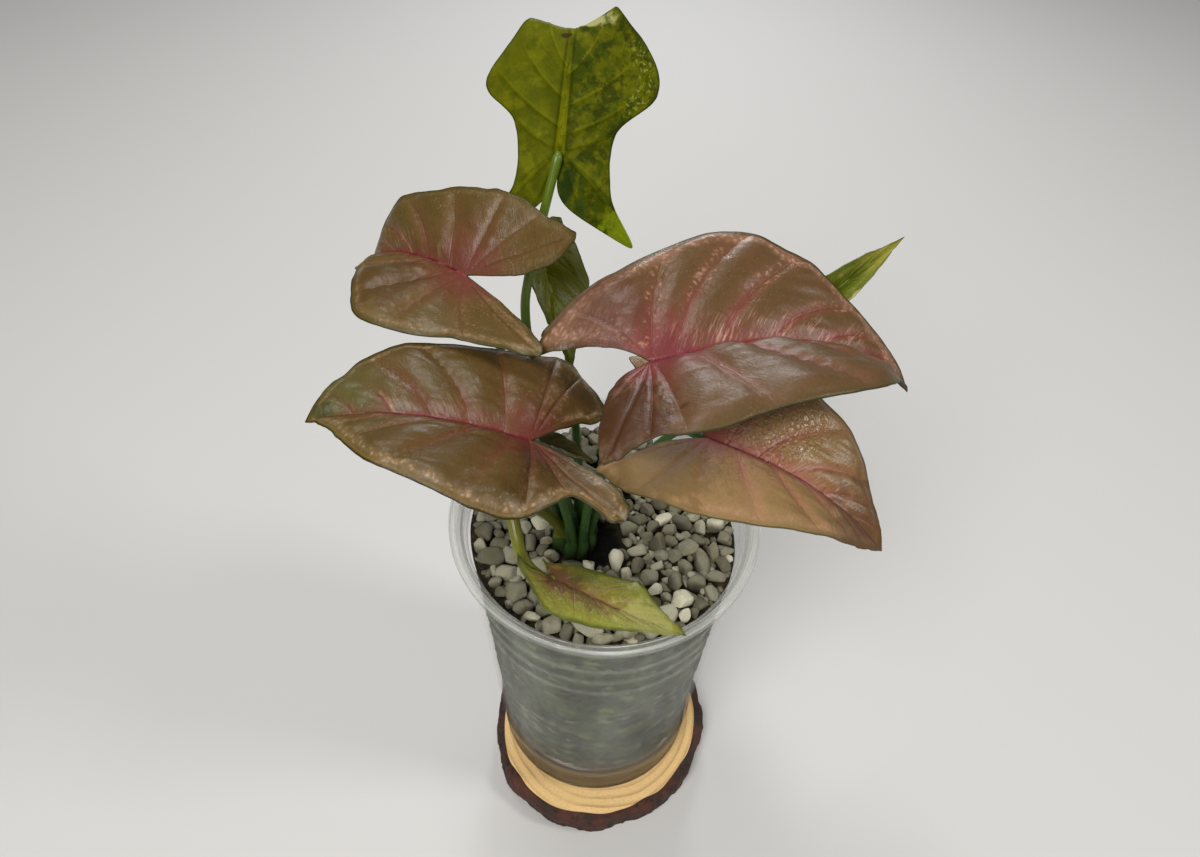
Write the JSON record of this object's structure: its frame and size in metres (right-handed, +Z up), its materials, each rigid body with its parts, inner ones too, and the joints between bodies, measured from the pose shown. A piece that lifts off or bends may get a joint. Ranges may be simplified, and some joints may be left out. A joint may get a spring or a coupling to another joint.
{
  "type": "potted arrowhead plant",
  "caption": "Arrowhead plant with rosy and green leaves in a clear plastic pot topped with pumice, on a wood slice; a houseplant to set on a shelf or table.",
  "frame": {"origin": "underside of the wood slice, on the axis of the pot", "axes": "+Z up; +X to the right and +Y away from the side that the picture was taken from"},
  "size_m": [0.1444, 0.1174, 0.2706],
  "materials": {
    "wood": "matte",
    "clear_plastic": "gloss",
    "growing_mix": "matte",
    "pumice": "matte",
    "stem_green": "satin",
    "stalk_green": "satin",
    "leaf_rose": "satin",
    "leaf_green": "satin",
    "leaf_mixed": "satin",
    "leaf_olive": "satin"
  },
  "bodies": {
    "root": {"wood_slice": "wood", "pot": "clear_plastic", "growing_mix": "growing_mix", "pumice_topping": "pumice", "stem_crown": "stem_green", "blade_top": "leaf_green", "blade_upper_left": "leaf_rose", "blade_lower_left": "leaf_rose", "blade_right": "leaf_rose", "blade_lower_right": "leaf_rose", "blade_front": "leaf_mixed", "blade_back_right": "leaf_green", "blade_hanging": "leaf_green", "blade_inner": "leaf_olive", "petiole_top": "stalk_green", "petiole_upper_left": "stalk_green", "petiole_lower_left": "stalk_green", "petiole_right": "stalk_green", "petiole_lower_right": "stalk_green", "petiole_front": "stalk_green", "petiole_back_right": "stalk_green", "petiole_hanging": "stalk_green", "petiole_inner": "stalk_green"}
  },
  "joints": []
}
